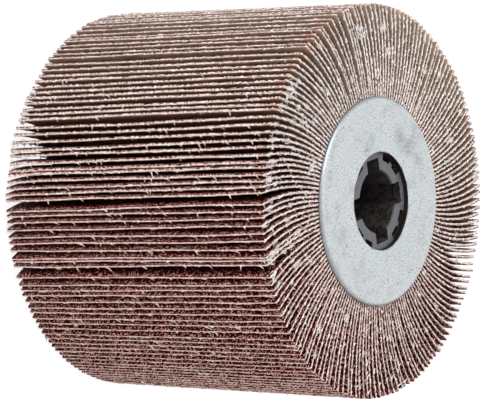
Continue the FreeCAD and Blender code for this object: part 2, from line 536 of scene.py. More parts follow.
@dataclass(frozen=True)
class AbrasiveGrain:
    """Coarse grain in resin: red-brown with dark and pale specks, white dust on its cut edges, and
    painted light and shade.

    Attributes:
        cut: Where the flap's cut edges are.
        depth: Thickness of the grain layer.
        grain: Size of a grain along the wheel's axis.
        drawn: That size over its size across the axis.
        own_shade: How much a grain's shade may differ from the others'.
        patch: Size of the lighter and darker patches.
        powder: Size of the mottling of the dust.
        relief: Height of the grains.
        painted_light_reach: How far from a cut edge the grains are painted lighter, as painted light
            between the flaps; beyond it they are painted darker, as painted shade.
        painted_light_at_ends: How much of that painted light they get by the front and rear edges, as a
            share of the tips.
        dust_from: Angle round the wheel, in degrees, of the side where most dust lies on the tips.
        ends_from: The same for the front and rear edges.
        tips_fade: Cosine of the angle from dust_from where least and most dust lies on the tips.
        ends_fade: The same for the front and rear edges.
        reach_on_tips: Share of the layer's depth that dust covers on a tip, least and most.
        reach_on_ends: The same on the front and rear edges.
        tooth: Size of the teeth at the dust's border.
        fringe: Distance over which a cut edge's own look sets in.
    """

    cut: CutLines
    depth: float
    grain: float = 0.5
    drawn: float = 0.8
    own_shade: float = 0.4
    patch: float = 7.0
    powder: float = 0.6
    relief: float = 0.22
    painted_light_reach: float = 6.0
    painted_light_at_ends: float = 0.7
    dust_from: float = 143.6
    ends_from: float = 70.0
    tips_fade: tuple[float, float] = (0.88, 0.98)
    ends_fade: tuple[float, float] = (-0.8, -0.1)
    reach_on_tips: tuple[float, float] = (-0.2, 0.38)
    reach_on_ends: tuple[float, float] = (-0.1, 0.14)
    tooth: float = 0.65
    fringe: float = 0.03

    def material(self) -> Material:
        """The finish as a material: a pattern of cells, in which each cell is a grain.

        A grain is pale at its middle and dark at its border, partly its own colour and partly a painted
        highlight on its top and painted shade round it. Its level adds a random shade of its own to
        that, rises near a cut edge and falls further in as painted light and shade between the flaps,
        and a ramp turns the level into a colour, which the same painted light and shade brighten and dim.

        Returns:
            The material.
        """
        material, tree = new_tree("abrasive_grain")
        place = tree.object_place()
        drawn = tree.vector("MULTIPLY", place, (self.drawn, self.drawn, 1.0))
        cells = tree.add("TexVoronoi", {"Vector": drawn, "Scale": 1.0 / (self.grain * MM)}).outputs
        shade, gloss, _ = tree.add("SeparateColor", {0: cells["Color"]}).outputs
        from_tip, from_end = self.cut.distances(tree)
        distance = tree.math("MINIMUM", from_tip, from_end)
        # painted light: nearness to a cut edge, where the grains are painted lighter
        near_end = tree.times(tree.nearness(from_end, self.painted_light_reach), self.painted_light_at_ends)
        near = tree.math("MAXIMUM", tree.nearness(from_tip, self.painted_light_reach), near_end)
        # painted highlight and shade: each grain pale at its middle and dark at its border, partly its
        # own colour
        spot = tree.span(cells["Distance"], 0.3, 0.75, 0.68, 0.06)
        # painted shade: the level falls by up to 0.22 away from the cut edges, darker deep between the
        # flaps
        speck = tree.ramp(
            tree.plus(tree.times(shade, self.own_shade), spot, tree.span(near, 0.0, 1.0, -0.22, 0.03)),
            (0.0, tone(26, 4, 3)),
            (0.4, tone(52, 11, 10)),
            (0.66, tone(92, 22, 21)),
            (0.78, tone(148, 58, 55)),
            (0.85, tone(226, 152, 146)),
            (1.0, tone(252, 212, 206)),
        )
        patch = tree.span(tree.noise(place, self.patch, 3.0), 0.3, 0.7, 0.8, 1.1)
        # painted light and shade: the colour is raised a fifth at a cut edge and halved deep between the
        # flaps; the grain layer's cut face is darker still
        light = tree.plus(tree.times(near, 0.7), 0.5)
        light = tree.times(light, tree.span(distance, -self.fringe, 0.0, 0.4, 1.0))
        colour = tree.dimmed(speck, tree.times(patch, light))
        fine = tree.noise(place, self.powder, 2.0)
        powder = tree.ramp(fine, (0.3, tone(226, 205, 197)), (0.55, tone(247, 231, 224)))
        colour = tree.blend(self.dusted(tree, place, distance, from_end), colour, powder)
        rough = tree.span(gloss, 0.0, 1.0, 0.45, 0.8)
        relief = tree.bump(tree.math("SUBTRACT", 1.0, cells["Distance"]), self.relief)
        tree.surface(colour, rough, relief, shine=0.03)
        return material

    def dusted(self, tree: Tree, place: Socket, distance: Socket, from_end: Socket) -> Socket:
        """How white with dust the cut edge of the grain layer is.

        Dust covers the cut from the cloth outward, with teeth by noise, as far as the share that it
        reaches there: most on one side of the wheel, which is another for the tips than for the
        front and rear edges.

        Args:
            tree: The material's tree.
            place: Place on the object.
            distance: Least distance to a cut edge, below 0 on the cut.
            from_end: Distance to the nearer end edge, the same way.

        Returns:
            1 where dust covers the cut, and 0 elsewhere.
        """
        on_tip = tree.span(tree.facing(place, self.dust_from), *self.tips_fade, *self.reach_on_tips)
        on_end = tree.span(tree.facing(place, self.ends_from), *self.ends_fade, *self.reach_on_ends)
        reach = tree.span(from_end, -0.01, self.fringe, on_end, on_tip)
        depth = tree.math("DIVIDE", distance, -self.depth)
        tooth = tree.span(tree.noise(place, self.tooth, 0.5), 0.34, 0.66, -0.5, 0.5)
        covered = tree.span(tree.plus(depth, tooth, reach), 0.95, 1.05)
        return tree.times(covered, tree.span(distance, -self.fringe, 0.0, 1.0, 0.0))


@dataclass(frozen=True)
class ClothBacking:
    """The cloth side of a flap: woven cotton stiffened with glue, grey-brown by its cuts, with painted
    light.

    Attributes:
        cut: Where the flap's cut edges are.
        yarn: Distance from one yarn to the next.
        stain: Size of the stains.
        fibre: Size of the mottling by single fibres.
        relief: Depth of the weave.
        painted_light_reach: How far from a cut edge the cloth is grey-brown.
        tip_painted_light: How far from a tip the cloth is brighter.
        rusty: How far from a corner the rusty tint reaches.
    """

    cut: CutLines
    yarn: float = 0.52
    stain: float = 5.0
    fibre: float = 0.3
    relief: float = 0.12
    # painted_light_reach: How far from a cut edge the cloth is grey-brown; further in it is painted
    # pinkish and paler, as painted light deep between the flaps.
    painted_light_reach: float = 6.0
    # tip_painted_light: How far from a tip the cloth is painted brighter, as painted light.
    tip_painted_light: float = 9.0
    rusty: float = 5.0

    def material(self) -> Material:
        """The finish as a material: plain weave as the product of two sines, with stains and painted
        light over it.

        Returns:
            The material.
        """
        material, tree = new_tree("cloth_backing")
        place = tree.object_place()
        scale = {0: tree.cloth_place(), 3: math.tau / self.yarn}
        turns = tree.xyz(tree.add("VectorMath", scale, operation="SCALE").outputs[0])
        weave = tree.span(tree.times(*[tree.math("SINE", turn) for turn in turns[:2]]), -1.0, 1.0)
        fibre = tree.noise(place, self.fibre, 2.0)
        base = tree.ramp(
            tree.noise(place, self.stain, 4.0, 0.6),
            (0.25, tone(150, 127, 107)),
            (0.5, tone(184, 164, 143)),
            (0.8, tone(208, 192, 173)),
        )
        from_tip, from_end = self.cut.distances(tree)
        near = tree.nearness(tree.math("MINIMUM", from_tip, from_end), self.painted_light_reach)
        # painted light: pale pinkish cloth deep between the flaps, where only shade falls
        base = tree.blend(tree.span(near, 0.05, 0.6), tone(228, 164, 138), base)
        corner = tree.times(*[tree.span(d, 0.0, self.rusty, 0.9, 0.0) for d in (from_tip, from_end)])
        base = tree.blend(tree.times(corner, self.cut.rusted(tree, place)), base, tone(206, 154, 119))
        # painted light: up to half again as bright near the tip
        base = tree.dimmed(base, tree.plus(tree.times(tree.nearness(from_tip, self.tip_painted_light), 0.5), 1.0))
        thread = tree.plus(tree.times(weave, 0.6), tree.times(fibre, 0.6))
        colour = tree.blend(tree.span(thread, 0.2, 0.95), tree.shaded(base, tone(190, 184, 178)), base)
        rough = tree.span(fibre, 0.3, 0.7, 0.75, 0.95)
        tree.surface(colour, rough, tree.bump(thread, self.relief), shine=0.05)
        return material


@dataclass(frozen=True)
class CutEdge:
    """Cut and frayed cloth: cream, pinkish most on one side of the wheel as a painted red bounce light,
    and rusty at some corners.

    Attributes:
        cut: Where the flap's cut edges are.
        fibre: Size of the fine shading.
        cloud: Size of the more and less pinkish places.
        patch: Size of the rusty patches.
        relief: Depth of the fine relief.
        corner: How far the rusty tint reaches from a corner along the tip.
        frayed: Distances from the wheel's end faces between which the tints of the tips fade out.
        glue: Depth of the brown glue along the backing.
        painted_bounce_at: Angle round the wheel, in degrees, where the edges are pinkest, by a painted
            red light bounced from the grain.
    """

    cut: CutLines
    fibre: float = 0.8
    cloud: float = 6.0
    patch: float = 2.5
    relief: float = 0.15
    corner: float = 5.0
    frayed: tuple[float, float] = (0.4, 0.1)
    glue: float = 0.08
    painted_bounce_at: float = 256.6

    def material(self) -> Material:
        """The finish as a material: noise chooses the shade, and places choose the tints, the pink partly
        as painted light.

        Returns:
            The material.
        """
        material, tree = new_tree("cut_edge")
        place = tree.object_place()
        fine = tree.noise(place, self.fibre, 3.0, 0.65)
        wide = tree.noise(place, self.cloud, 2.0)
        shade = tree.ramp(
            fine,
            (0.34, tone(178, 150, 141)),
            (0.42, tone(222, 205, 197)),
            (0.5, tone(243, 234, 228)),
            (0.62, tone(254, 250, 246)),
        )
        half = (self.cut.high - self.cut.low) / 2
        from_middle = tree.from_middle(place, self.cut.low, self.cut.high)
        near_end = tree.span_mm(from_middle, half - self.corner, half - 0.3 * self.corner)
        inside = tree.span_mm(from_middle, *[half - d for d in self.frayed], 1.0, 0.0)
        blush = tree.times(tree.span(wide, 0.35, 0.65, 0.5, 1.0), tree.span(inside, 0.0, 1.0, 0.35, 0.85))
        # painted light: the pink is strongest on one side of the wheel, a painted red bounce from the
        # grain
        blush = tree.times(blush, tree.span(tree.facing(place, self.painted_bounce_at), -1.6, 0.8))
        pink = tree.blend(blush, shade, tree.shaded(shade, tone(252, 218, 210)))
        patchy = tree.span(tree.noise(place, self.patch, 2.0), 0.36, 0.56)
        rust = tree.times(near_end, inside, patchy, self.cut.rusted(tree, place), 0.75)
        colour = tree.blend(rust, pink, tone(186, 136, 108))
        from_tip, from_end = self.cut.distances(tree)
        glued = tree.span(tree.math("MINIMUM", from_tip, from_end), -self.glue, 0.4 * -self.glue)
        glued = tree.times(glued, tree.math("LESS_THAN", from_tip, 1.0))
        colour = tree.blend(glued, colour, tone(176, 138, 104))
        rough = tree.span(fine, 0.3, 0.7, 0.8, 0.98)
        tree.surface(colour, rough, tree.bump(fine, self.relief), shine=0.04)
        return material


@dataclass(frozen=True)
class Lint:
    """Loose threads and dust from the cutting of the cloth.

    Attributes:
        clump: Size of the lighter and darker places.
        fibre: Size of the fibres in the relief.
        relief: Its depth.
    """

    clump: float = 1.6
    fibre: float = 0.25
    relief: float = 0.08

    def material(self) -> Material:
        """The finish as a material: warm white to grey by noise.

        Returns:
            The material.
        """
        material, tree = new_tree("lint")
        place = tree.object_place()
        shade = tree.noise(place, self.clump, 3.0)
        colour = tree.ramp(
            shade,
            (0.28, tone(204, 194, 188)),
            (0.5, tone(240, 234, 230)),
            (0.72, tone(255, 253, 251)),
        )
        rough = tree.span(shade, 0.3, 0.7, 0.85, 1.0)
        fine = tree.noise(place, self.fibre)
        tree.surface(colour, rough, tree.bump(fine, self.relief), shine=0.2)
        return material


@dataclass(frozen=True)
class Rub:
    """A dark rubbed spot on a washer.

    Attributes:
        across: Its x.
        up: Its y.
        size: Its radius.
        strength: Its cover at the middle.
    """

    across: float
    up: float
    size: float
    strength: float

    def cover(self, tree: Tree, place: Socket, streak: Socket) -> Socket:
        """How much the spot covers: full at its middle, broken by streaks, and gone at its size.

        Args:
            tree: The material's tree.
            place: Place on the object.
            streak: Pattern of its streaks, from 0 to 1.

        Returns:
            The cover, from 0 to 1.
        """
        centre = (self.across * MM, self.up * MM, 0.0)
        away = tree.vector("DISTANCE", tree.flat(place), centre, out="Value")
        return tree.times(tree.span_mm(away, 0.15 * self.size, self.size, self.strength, 0.0), streak)


@dataclass(frozen=True)
class ZincPlate:
    """Dull zinc on pressed steel: pale blue-grey, mottled, smudged, rusty in the punched hole, and
    painted darker on the rim.

    Attributes:
        hole_radius: Radius of the washer's hole.
        rim_radius: Radius of its rim.
        spangle: Size of the mottling.
        smudge: Size of the smudges.
        speck: Size of the dark specks.
        stain: Size of the stains on the lip.
        rust: Size of the rusty places in the hole.
        relief: Depth of the mottling.
        painted_dim_rim: Distances inside the rim between which its darker grey sets in, a painted
            reflection of dim surroundings.
        stained_lip: Distances from the hole between which the stains fade out.
        rusty_hole: Distances from the hole between which the rust fades out.
        streaks: Size of the streaks in the rubbed spots, and their turn in radians.
        rubs: The dark rubbed spots.
    """

    hole_radius: float
    rim_radius: float
    spangle: float = 0.42
    smudge: float = 8.0
    speck: float = 0.6
    stain: float = 4.0
    rust: float = 0.8
    relief: float = 0.012
    painted_dim_rim: tuple[float, float] = (1.1, 0.2)
    stained_lip: tuple[float, float] = (0.25, 0.6)
    rusty_hole: tuple[float, float] = (0.02, 0.2)
    streaks: tuple[float, float] = (3.0, 0.6)
    rubs: tuple[Rub, ...] = (
        Rub(13.6, 17.4, 4.6, 0.55),
        Rub(18.6, 13.2, 5.0, 0.5),
        Rub(23.0, 7.0, 4.2, 0.45),
        Rub(-4.6, 16.8, 2.4, 0.6),
        Rub(-23.6, 3.3, 3.0, 0.35),
        Rub(22.5, 17.5, 3.0, 0.4),
    )

    def material(self) -> Material:
        """The finish as a material: mottled plate, with one cover after another laid over it.

        Returns:
            The material.
        """
        material, tree = new_tree("zinc_plate")
        place = tree.object_place()
        mottle = tree.noise(place, self.spangle, 2.0, 0.7)
        cloud = tree.noise(place, self.smudge, 6.0, 0.75)
        size, turn = self.streaks
        turned = {"Vector": place, "Rotation": (0.0, 0.0, turn), "Scale": (1.0, 3.5, 1.0)}
        drawn = tree.add("Mapping", turned).outputs[0]
        streak = tree.span(tree.noise(drawn, size, 4.0, 0.7), 0.3, 0.66)
        radius = tree.vector("LENGTH", tree.flat(place), out="Value")
        # painted reflection: the rim is painted a darker grey, as if it mirrored dim surroundings
        on_rim = tree.span_mm(radius, *[self.rim_radius - d for d in self.painted_dim_rim], 0.0, 0.6)
        on_lip = tree.span_mm(radius, *[self.hole_radius + d for d in self.stained_lip], 0.8, 0.0)
        in_hole = tree.span_mm(radius, *[self.hole_radius + d for d in self.rusty_hole], 1.0, 0.0)
        stained = tree.span(tree.noise(place, self.stain, 2.0), 0.4, 0.62)
        rusty = tree.noise(place, self.rust, 3.0)
        rust = tree.ramp(rusty, (0.6, tone(10, 8, 8)), (0.85, tone(84, 48, 38)))
        speck = tree.span(tree.noise(place, self.speck, 1.0), 0.68, 0.73, 0.0, 0.8)
        covers = [
            (tree.span(cloud, 0.48, 0.68, 0.0, 0.6), tone(172, 177, 182)),
            *[(rub.cover(tree, place, streak), tone(130, 130, 134)) for rub in self.rubs],
            (speck, tone(96, 92, 90)),
            # painted reflection: darker grey on the rim
            (on_rim, tone(132, 138, 145)),
            (tree.times(on_lip, stained), tone(156, 124, 112)),
            (in_hole, rust),
        ]
        colour = tree.ramp(
            mottle,
            (0.34, tone(168, 174, 179)),
            (0.5, tone(207, 212, 214)),
            (0.66, tone(233, 236, 238)),
        )
        for cover, over in covers:
            colour = tree.blend(cover, colour, over)
        dull = tree.span(mottle, 0.3, 0.7, 0.38, 0.52)
        rough = tree.math("SUBTRACT", dull, tree.times(on_rim, 0.15))
        metal = tree.math("SUBTRACT", 0.92, tree.times(in_hole, 0.8))
        tree.surface(colour, rough, tree.bump(tree.plus(mottle, cloud), self.relief), metal=metal)
        return material


@dataclass(frozen=True)
class CorePlastic:
    """Black moulded plastic, scuffed grey where the ends were faced off.

    Attributes:
        low: Height of the rear end face.
        high: Height of the front end face.
        dust: Size of the dust's mottling.
        mote: Size of the pale motes.
        ring: Distance from one faint ring in the bore to the next.
        relief: Depth of the rings and the dust.
        skin: Depths below an end face between which its scuffed grey sets in.
    """

    low: float
    high: float
    dust: float = 1.4
    mote: float = 0.5
    ring: float = 1.1
    relief: float = 0.03
    skin: tuple[float, float] = (0.06, 0.02)

    def material(self) -> Material:
        """The finish as a material: height picks out the two end faces, noise does the rest.

        Returns:
            The material.
        """
        material, tree = new_tree("core_plastic")
        place = tree.object_place()
        half = (self.high - self.low) / 2
        from_middle = tree.from_middle(place, self.low, self.high)
        end = tree.span_mm(from_middle, *[half - d for d in self.skin])
        dust = tree.noise(place, self.dust, 4.0, 0.65)
        inside = tree.ramp(dust, (0.35, tone(25, 22, 22)), (0.72, tone(76, 69, 68)))
        mote = tree.span(tree.noise(place, self.mote, 2.0), 0.62, 0.72, 0.0, 0.5)
        inside = tree.blend(mote, inside, tone(150, 144, 140))
        face = tree.ramp(dust, (0.3, tone(80, 81, 86)), (0.7, tone(110, 111, 116)))
        rings = tree.math("SINE", tree.times(tree.xyz(place)[2], math.tau / (self.ring * MM)))
        relief = tree.bump(tree.plus(tree.times(rings, 0.25), dust), self.relief)
        tree.surface(tree.blend(end, inside, face), tree.span(dust, 0.3, 0.7, 0.3, 0.55), relief)
        return material


@dataclass(frozen=True)
class CastResin:
    """Dark brown cast resin, crusty where it shows, nearly black in part as painted shade deep in the
    core's grooves.

    Attributes:
        crust: Size of the crust's lumps.
        relief: Their height.
    """

    crust: float = 1.2
    relief: float = 0.3

    def material(self) -> Material:
        """The finish as a material: dark brown with rusty crumbs by noise.

        Returns:
            The material.
        """
        material, tree = new_tree("cast_resin")
        lumps = tree.noise(tree.object_place(), self.crust, 4.0, 0.65)
        # painted shade: the near-black tones stand partly for the shade deep in the core's grooves
        colour = tree.ramp(
            lumps,
            (0.3, tone(20, 15, 14)),
            (0.6, tone(42, 28, 24)),
            (0.85, tone(128, 80, 64)),
        )
        tree.surface(colour, tree.span(lumps, 0.3, 0.7, 0.4, 0.8), tree.bump(lumps, self.relief))
        return material


# The wheel


@dataclass(frozen=True)
class WheelSizes:
    """Main sizes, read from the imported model.

    Attributes:
        tip_radius: Radius of the wheel over the flaps.
        root_radius: Radius where the flaps leave the resin.
        core_radius: Radius of the core.
        washer_radius: Radius of the washers.
        flaps_low: Height of the flaps' rear edges.
        flaps_high: Height of their front edges.
        rear_face: Height of the rear washer's outer face.
        front_face: Height of the front washer's outer face.
        flap_sets: Number of nodes that hold the flaps.
    """

    tip_radius: float
    root_radius: float
    core_radius: float
    washer_radius: float
    flaps_low: float
    flaps_high: float
    rear_face: float
    front_face: float
    flap_sets: int

    @classmethod
    def from_frame(cls, nodes: dict[str, bpy.types.Object]) -> "WheelSizes":
        """Reads the sizes.

        Args:
            nodes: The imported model's nodes by name.

        Returns:
            The sizes in millimetres.
        """
        low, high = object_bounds()
        sets = [name for name in nodes if name.startswith("flap_set_")]
        flaps_low, flaps_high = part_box(sets[0])
        return cls(
            tip_radius=(high.x - low.x) / 2 / MM,
            root_radius=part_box("resin_ring")[1].x / MM,
            core_radius=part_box("hub_core")[1].x / MM,
            washer_radius=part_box("front_flange_washer")[1].x / MM,
            flaps_low=flaps_low.z / MM,
            flaps_high=flaps_high.z / MM,
            rear_face=low.z / MM,
            front_face=high.z / MM,
            flap_sets=len(sets),
        )

    def flap_width(self) -> float:
        """Width of a flap along the wheel's axis."""
        return self.flaps_high - self.flaps_low

    def flap_length(self) -> float:
        """How far a flap reaches from root to tip."""
        return self.tip_radius - self.root_radius


@dataclass(frozen=True)
class Fraying:
    """How the cut cloth frays, as a four-sided section carried along the edge.

    Lists of four have a number for each corner of the section: two in the cloth, on the side of
    the grain and of the backing, and two outside it, the other way round.

    Attributes:
        margins: How far the section stays clear of the grain layer and of the backing's face.
        sunk: How far it reaches into the cloth.
        proud: How far it stands out of the cloth.
        narrows: How much narrower it is outside, by the backing and by the grain.
        sway: Size of the slow sideways wander of the yarns, and what it gains on the wheel's ends.
        sway_shares: Share of that wander that each corner has.
        stray: Size of each corner's own sideways wander.
        stray_on_ends: What that gains on the wheel's ends.
        lift: Size of each corner's random height, and the share of it that the ends lose.
        swell: Shape and scale of the slow swelling of the height.
        swell_run: Stations along the edge that swell together.
        lift_shares: Share of the height that each corner has.
    """

    margins: tuple[float, float] = (0.03, 0.1)
    sunk: float = 0.15
    proud: float = 0.04
    narrows: tuple[float, float] = (0.08, 0.05)
    sway: tuple[float, float] = (0.07, 0.05)
    sway_shares: tuple[float, ...] = (0.4, 1.0, 1.0, 0.4)
    stray: tuple[float, ...] = (0.06, 0.06, 0.1, 0.14)
    stray_on_ends: tuple[float, ...] = (0.03, 0.08, 0.08, 0.05)
    lift: tuple[float, float] = (0.13, 0.4)
    swell: tuple[float, float] = (2.0, 0.02)
    swell_run: int = 7
    lift_shares: tuple[float, ...] = (0.0, 0.35, 1.0, 1.0)

    def sections(
        self, grain: float, back: float, facing: Array, flaps: int, rng: np.random.Generator
    ) -> Array:
        """The section at every station.

        The four corners start from a trapezium. Sideways each wanders by itself, and all of them
        with a sum of three neighbouring random numbers, as yarns do. Outward each rises at random.

        Args:
            grain: Place of the border of the grain layer across the flap's thickness.
            back: Place of the backing's face.
            facing: Which way the edge faces along the axis at each station.
            flaps: Number of flaps.
            rng: Source of the random draws.

        Returns:
            Places across the thickness and outward, as flap, station, corner, two numbers.
        """
        stations = len(facing)
        shape = (flaps, stations, 4)
        inner, outer = grain + self.margins[0], back - self.margins[1]
        across = np.array([inner, outer, outer - self.narrows[0], inner + self.narrows[1]])
        outward = np.array([-self.sunk, -self.sunk, self.proud, self.proud])
        on_end = np.abs(facing)[:, None]
        loose = rng.normal(0.0, 1.0, (flaps, stations + 3, 1))
        loose = sum(loose[:, k : k + stations] for k in range(3)) / math.sqrt(3.0)
        sway = (self.sway[0] + self.sway[1] * on_end) * loose * np.array(self.sway_shares)
        stray = np.array(self.stray) + on_end * np.array(self.stray_on_ends)
        across = across + (rng.normal(0.0, 1.0, shape) * stray + sway)
        swell = rng.gamma(*self.swell, (flaps, stations // self.swell_run + 1))
        swell = np.repeat(swell, self.swell_run, axis=1)[:, :stations, None]
        lift = np.abs(rng.normal(0.0, self.lift[0], shape)) * (1.0 - self.lift[1] * on_end) + swell
        return np.stack([across, outward + lift * np.array(self.lift_shares)], axis=-1)


@dataclass(frozen=True)
class LooseThreads:
    """The threads that stand off a flap's cut edges.

    Attributes:
        counts: Threads of one flap along the front edge, the tip and the rear edge.
        from_share: Share of the way from root to tip where they start on the end edges.
        way: Mean direction: outward, across the gap and along the edge.
        way_spread: Spread of the three.
        curl: Random curl, and steady curl inward and across the gap.
        length: Least length, and shape and scale of what is added to it.
        radius: Least and largest radius.
        taper: Share of the radius that is gone at the free end.
        aside: Distance from the middle of the cut to where they start, towards the backing.
        torn: Mean size, and how much it changes round the wheel.
        most_torn_at: Angle round the wheel where they are largest, in degrees.
        stations: Points along a thread.
    """

    counts: tuple[int, int, int] = (4, 11, 3)
    from_share: float = 0.28
    way: Xyz = (0.1, 0.45, -0.8)
    way_spread: Xyz = (0.15, 0.25, 0.4)
    curl: Xyz = (0.2, 0.1, 0.4)
    length: Xyz = (0.5, 2.0, 0.22)
    radius: tuple[float, float] = (0.24, 0.44)
    taper: float = 0.75
    aside: float = 0.2
    torn: tuple[float, float] = (0.7, 0.3)
    most_torn_at: float = 205.0
    stations: int = 5


@dataclass
class FlapPack:
    """The abrasive flaps, each of its own bend, with frayed cut edges and loose threads.

    Angles are about the wheel's axis. A flap stands straight out to bend_radius, and from there its
    angle grows by its lean times the share of the way to the tip to the power bend_power. Towards
    the rear end the whole flap lies further round, by up to its twist.

    Attributes:
        sizes: Main sizes of the wheel.
        per_set: Flaps in one node.
        thickness: Thickness of a flap.
        grain_share: Share of the thickness that is grain.
        bend_radius: Radius where the bend starts.
        bend_power: How the bend grows.
        lean: Mean lean of the tips at the front end, in degrees.
        lean_swing: How much the lean changes round the wheel, in degrees.
        most_lean_at: Angle round the wheel where flaps lean most, in degrees.
        twist: How much further round a flap lies at the rear end than at the front, in degrees.
        twist_swing: How much the twist changes round the wheel, in degrees.
        most_twist_at: Angle round the wheel where flaps are twisted most, in degrees.
        gap_spread: Spread of the gaps from tip to tip, as a share of the pitch: along a flap's whole
            width, and at each of the four places along it.
        gap_tails: Degrees of freedom of the two draws of the spread: few give more odd gaps.
        most_spread: Largest random change of a gap, as a share of the pitch.
        least_gap: Smallest distance from tip to tip, as a share of the pitch.
        drift_cycles: Cycles round the wheel below which the gaps' sum stays near the roots.
        odd_gaps: Angle in degrees and extra width in pitches of the gaps that stand out.
        inset: How far inside the wheel's radius a tip of mean lean ends, and the least for any tip.
        lean_shortens: How far a tip comes in as the square of its lean over the mean one grows by 1.
        trim: Least and largest random change of a tip's radius.
        end_spread: Spread of the heights of the flaps' end edges.
        ripple: Size of the waves along the width, in radians at the tip.
        ripples: Cycles over the width, and share of the size, of each wave.
        held: How far past the washer's rim the end edges are held even, and where they are free.
        edge_step: Distance from station to station along a cut edge.
        edge_from: How far past the washer's rim the fraying starts.
        corner_inset: How far from the flap's corners the fraying of the tip starts.
        fray: How the cut cloth frays.
        threads: The loose threads.
        seed: Seed of the draws for the whole pack.
        set_seed: Seed of the draws for one node, beside its number.
    """

    sizes: WheelSizes
    per_set: int = 4
    thickness: float = 0.85
    grain_share: float = 0.51
    bend_radius: float = 29.46
    bend_power: float = 1.75
    lean: float = 5.4
    lean_swing: float = 1.9
    most_lean_at: float = 121.6
    twist: float = 1.7
    twist_swing: float = 1.2
    most_twist_at: float = 182.0
    gap_spread: tuple[float, float] = (0.1, 0.07)
    gap_tails: tuple[float, float] = (5.0, 4.0)
    most_spread: float = 0.4
    least_gap: float = 0.46
    drift_cycles: float = 7.0
    odd_gaps: tuple[tuple[float, float], ...] = (
        (95.0, 0.5),
        (97.2, 0.3),
        (103.8, 0.25),
        (108.5, 0.25),
        (113.0, 0.65),
        (115.2, 0.3),
        (117.0, 0.1),
        (127.2, -0.3),
        (132.0, -0.35),
        (134.0, -0.3),
        (136.0, 0.3),
        (144.5, -0.15),
        (149.0, 0.25),
        (151.0, -0.35),
        (153.0, 0.35),
        (159.5, 0.1),
        (161.5, 0.55),
        (168.2, 0.1),
        (170.2, 0.1),
        (172.5, 0.15),
        (174.6, 0.25),
        (176.8, 0.2),
        (179.0, -0.45),
        (181.0, 0.15),
        (183.7, 0.8),
        (186.0, 0.2),
        (191.0, 0.15),
        (193.5, 0.35),
        (195.5, 0.2),
        (198.0, 0.2),
        (200.3, 0.3),
        (202.4, 0.2),
        (205.4, 0.4),
        (255.0, 0.4),
        (296.0, 0.5),
        (341.0, 0.35),
        (15.0, 0.3),
    )
    inset: tuple[float, float] = (0.13, 0.1)
    lean_shortens: float = 0.55
    trim: tuple[float, float] = (-0.28, 0.12)
    end_spread: float = 0.14
    ripple: float = 0.0018
    ripples: tuple[tuple[float, float], ...] = ((1.3, 1.0), (3.1, 0.6))
    held: tuple[float, float] = (0.3, 5.3)
    edge_step: float = 0.5
    edge_from: float = 0.45
    corner_inset: float = 0.4
    fray: Fraying = Fraying()
    threads: LooseThreads = LooseThreads()
    seed: int = 7
    set_seed: int = 11

    def __post_init__(self) -> None:
        """Works out each flap's root, twist, tip, trim, end edges and waves."""
        self.count = self.sizes.flap_sets * self.per_set
        self.pitch = math.tau / self.count
        self.roots = (np.arange(self.count) + 0.5) * self.pitch
        turned = np.cos(self.roots - math.radians(self.most_twist_at))
        self.twists = np.radians(self.twist + self.twist_swing * turned)
        rng = np.random.default_rng(self.seed)
        self.tips = self.tip_angles(rng)
        self.trims = rng.uniform(*self.trim, self.count)
        self.ends = rng.normal(0.0, self.end_spread, (2, self.count))
        self.waves = rng.uniform(0.0, math.tau, (2, self.count))

    def tip_angles(self, rng: np.random.Generator) -> Array:
        """The tips' angles at four places along the wheel's width.

        Gaps are drawn at random about the mean one, so the place of a tip is the running sum of the
        gaps before it. Its slow changes round the wheel are taken off, so that each tip stays near
        its root, and tips nearer than the least gap are pushed apart. The lean swings twice round
        the wheel, and the twist is added in equal steps from the front end to the rear.

        Args:
            rng: Source of the random draws.

        Returns:
            Angles in radians, one row for each place along the width.
        """
        rows, rounds = 4, 200
        common = self.gap_spread[0] * rng.standard_t(self.gap_tails[0], (1, self.count))
        own = self.gap_spread[1] * rng.standard_t(self.gap_tails[1], (rows, self.count))
        gaps = 1.0 + np.clip(common + own, -self.most_spread, self.most_spread)
        for angle, extra in self.odd_gaps:
            gaps[:, int(math.radians(angle) / self.pitch) % self.count] += extra
        gaps *= self.count / gaps.sum(axis=1, keepdims=True)
        waves = np.fft.rfft(np.cumsum(gaps - 1.0, axis=1), axis=1)
        cycles = np.arange(waves.shape[1])
        waves *= 1.0 - np.exp(-0.5 * (cycles / self.drift_cycles) ** 2)
        place = np.arange(self.count) + np.fft.irfft(waves, self.count, axis=1)
        for _ in range(rounds):
            after = np.concatenate([place[:, 1:], place[:, :1] + self.count], axis=1)
            short = np.maximum(0.0, self.least_gap - (after - place)) / 2.0
            place = place - short + np.roll(short, 1, axis=1)
        base = (place + 0.5) * self.pitch
        swing = np.cos(2.0 * (self.roots - math.radians(self.most_lean_at)))
        from_front = 1.0 - np.arange(rows)[:, None] / (rows - 1)
        return base + np.radians(self.lean + self.lean_swing * swing) + self.twists * from_front

    def tip_angle(self, flap: Array, width: Array) -> Array:
        """The tip's angle part of the way along the width.

        It is the mean of the four places' angles, each weighted by its number among 1, 3, 3, 1 times
        width to the power k times (1 - width) to the power (3 - k), so tips that are in order at the
        four places are in order everywhere.

        Args:
            flap: Flap numbers.
            width: Shares of the way from the rear end to the front.

        Returns:
            Angles in radians.
        """
        weights = [c * width**k * (1.0 - width) ** (3 - k) for k, c in enumerate((1, 3, 3, 1))]
        return sum(w * self.tips[k][flap] for k, w in enumerate(weights))

